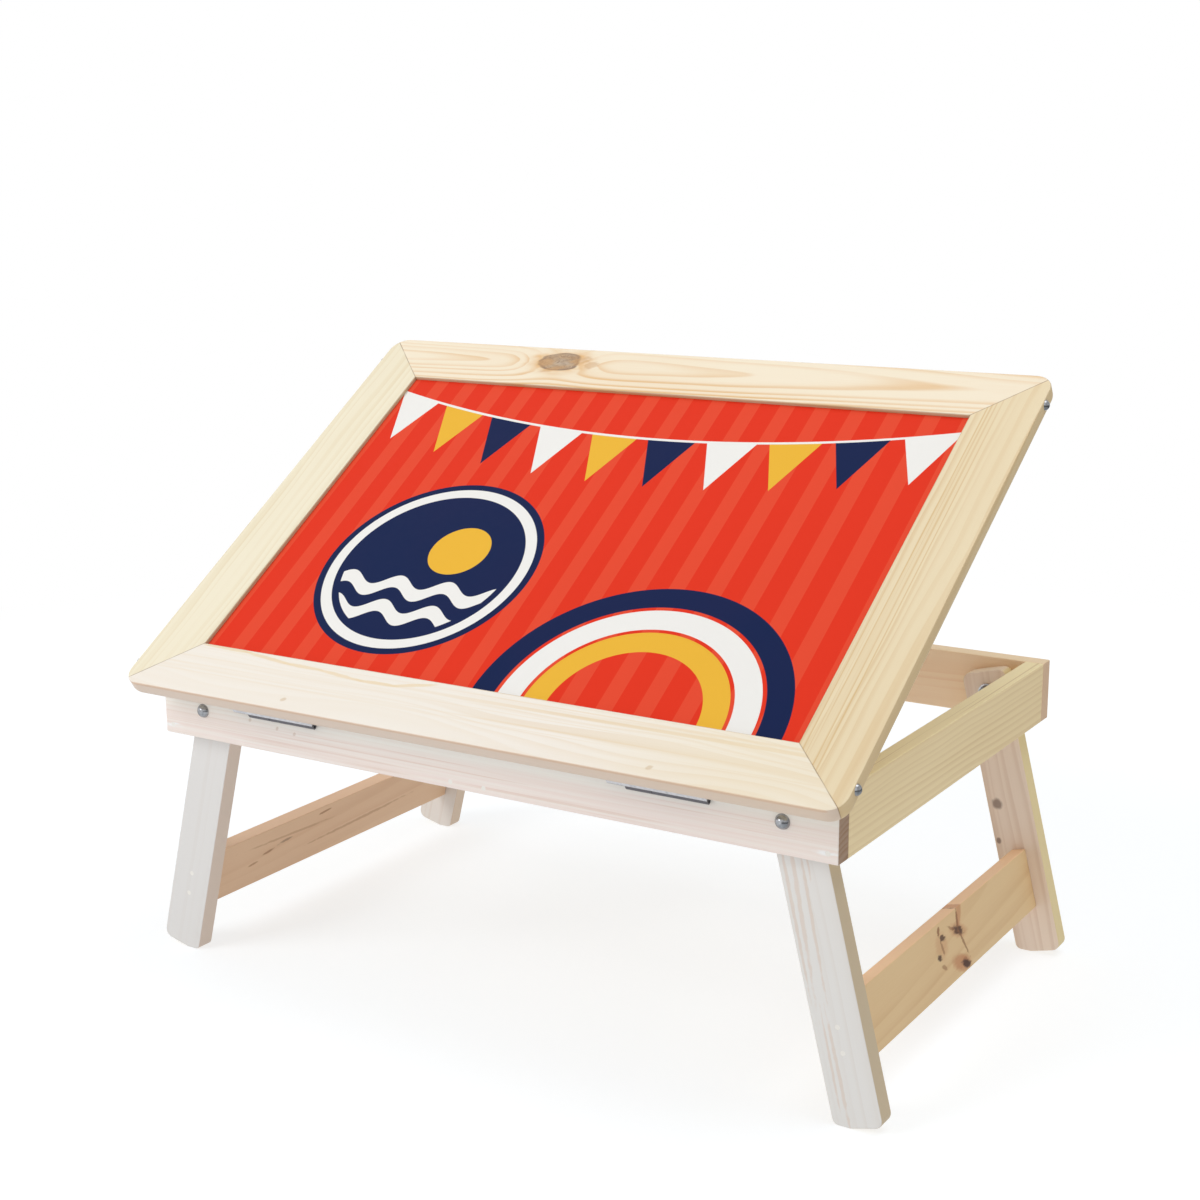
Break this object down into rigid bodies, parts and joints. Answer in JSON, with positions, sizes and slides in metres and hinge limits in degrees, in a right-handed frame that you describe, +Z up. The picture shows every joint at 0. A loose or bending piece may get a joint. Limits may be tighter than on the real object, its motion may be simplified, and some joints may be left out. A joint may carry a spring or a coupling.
{
  "type": "folding study table",
  "caption": "Low folding study table: a framed panel top tilts on front hinges over a folding prop, and splayed leg frames fold flat under a shallow rail frame.",
  "frame": {"origin": "on the floor under the middle of the table's bounding box, top tilted and legs out", "axes": "+X to the user's right along the table's width, +Y away from the user, +Z up"},
  "size_m": [0.6372, 0.4316, 0.4685],
  "materials": {
    "rail_wood": "planed pine, clear matt varnish",
    "leg_wood": "planed pine, clear matt varnish",
    "stretcher_wood": "planed pine, knotty, clear matt varnish",
    "top_wood": "planed pine, clear satin varnish",
    "prop_wood": "planed pine",
    "printed_panel": "hardboard with a smooth printed face",
    "pad_rubber": "ribbed rubber",
    "nail_filler": "steel nail, head filled over",
    "bolt_steel": "zinc plated steel",
    "hinge_steel": "zinc plated pressed steel",
    "screw_steel": "zinc plated steel"
  },
  "bodies": {
    "base": {"front_rail": "rail_wood", "rear_rail": "rail_wood", "left_side_rail": "rail_wood", "right_side_rail": "rail_wood", "centre_slat": "rail_wood", "prop_pad": "pad_rubber", "frame_nails": "nail_filler", "leg_bolts": "bolt_steel", "leg_washers": "bolt_steel", "leg_nuts": "bolt_steel", "hinge_rail_leaf_left": "hinge_steel", "hinge_rail_leaf_right": "hinge_steel", "hinge_pin_left": "hinge_steel", "hinge_pin_right": "hinge_steel", "hinge_rail_screws": "screw_steel"},
    "top": {"top_front_member": "top_wood", "top_rear_member": "top_wood", "top_left_member": "top_wood", "top_right_member": "top_wood", "top_panel": "printed_panel", "corner_screws": "bolt_steel", "prop_batten": "prop_wood", "batten_screws": "screw_steel", "hinge_top_leaf_left": "hinge_steel", "hinge_top_leaf_right": "hinge_steel", "hinge_top_screws": "screw_steel", "prop_hinge_batten_leaf": "hinge_steel", "prop_hinge_pin": "hinge_steel", "prop_hinge_batten_screws": "screw_steel"},
    "prop": {"prop_board": "prop_wood", "prop_hinge_prop_leaf": "hinge_steel", "prop_hinge_prop_screws": "screw_steel"},
    "left_leg_frame": {"left_front_leg": "leg_wood", "left_rear_leg": "leg_wood", "left_stretcher": "stretcher_wood", "left_leg_nails": "nail_filler"},
    "right_leg_frame": {"right_front_leg": "leg_wood", "right_rear_leg": "leg_wood", "right_stretcher": "stretcher_wood", "right_leg_nails": "nail_filler"}
  },
  "joints": [
    {"name": "top_tilt", "type": "hinge", "parent": "base", "child": "top", "pos_m": [0, -0.18262, 0.2155], "axis": [1, 0, 0], "range_deg": [-32.9, 0]},
    {"name": "prop_fold", "type": "hinge", "parent": "top", "child": "prop", "pos_m": [0, -0.06037, 0.30269], "axis": [1, 0, 0], "range_deg": [0, 80.01]},
    {"name": "left_leg_fold", "type": "hinge", "parent": "base", "child": "left_leg_frame", "pos_m": [-0.24995, 0.01538, 0.2108], "axis": [0, -1, 0], "range_deg": [0, 104]},
    {"name": "right_leg_fold", "type": "hinge", "parent": "base", "child": "right_leg_frame", "pos_m": [0.24995, 0.01538, 0.2108], "axis": [0, 1, 0], "range_deg": [0, 104]}
  ],
  "couplings": [
    {"joint": "prop_fold", "follows": "top_tilt", "ratio": -2.4316}
  ]
}
